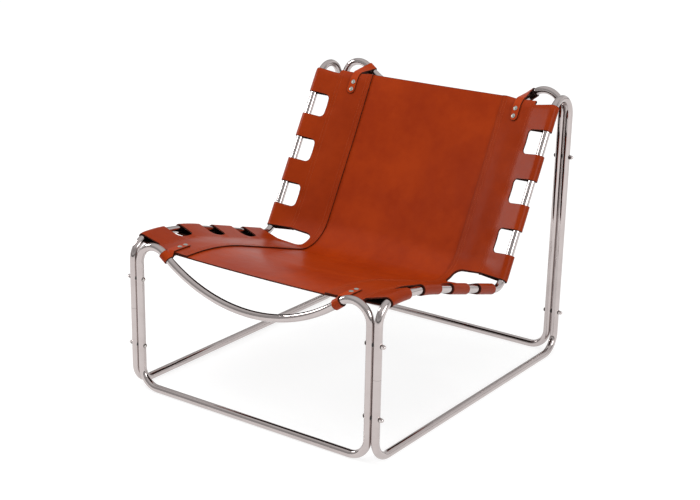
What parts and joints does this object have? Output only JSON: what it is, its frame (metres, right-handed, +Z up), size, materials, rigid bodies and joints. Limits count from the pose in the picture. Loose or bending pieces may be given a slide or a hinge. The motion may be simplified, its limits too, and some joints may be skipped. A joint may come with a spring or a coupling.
{
  "type": "lounge chair",
  "caption": "Low lounge chair: a leather sling seat and back with wrapped tabs on bolted loops of bent chromed steel tube.",
  "frame": {"origin": "centre of the footprint, on the floor", "axes": "+Z up; the chair faces -Y; +X to the right in a view from the front"},
  "size_m": [0.782, 0.8939, 0.7347],
  "materials": {
    "tube_chrome": "polished chrome plating",
    "nut_chrome": "polished chrome plating",
    "bolt_steel": "bright plated steel",
    "plain_steel": "plain steel",
    "black_rubber": "matte black",
    "panel_leather": "waxed saddle leather, orange brown",
    "tab_leather": "waxed saddle leather, orange brown, dark burnished edges",
    "strap_leather": "waxed saddle leather",
    "rivet_nickel": "bright nickel"
  },
  "bodies": {
    "root": {"side_loop_left": "tube_chrome", "side_loop_right": "tube_chrome", "front_loop": "tube_chrome", "rear_loop": "tube_chrome", "joint_sleeves": "plain_steel", "bolts_front": "bolt_steel", "bolts_rear": "bolt_steel", "dome_nuts_front": "nut_chrome", "dome_nuts_rear": "nut_chrome", "washers_front": "plain_steel", "washers_rear": "plain_steel", "spacers_front": "black_rubber", "spacers_rear": "black_rubber", "centre_panel": "panel_leather", "side_panel_left": "tab_leather", "side_panel_right": "tab_leather", "strap_front_left": "strap_leather", "strap_front_right": "strap_leather", "strap_rear_left": "strap_leather", "strap_rear_right": "strap_leather", "rivets_front": "rivet_nickel", "rivets_rear": "rivet_nickel"}
  },
  "joints": []
}
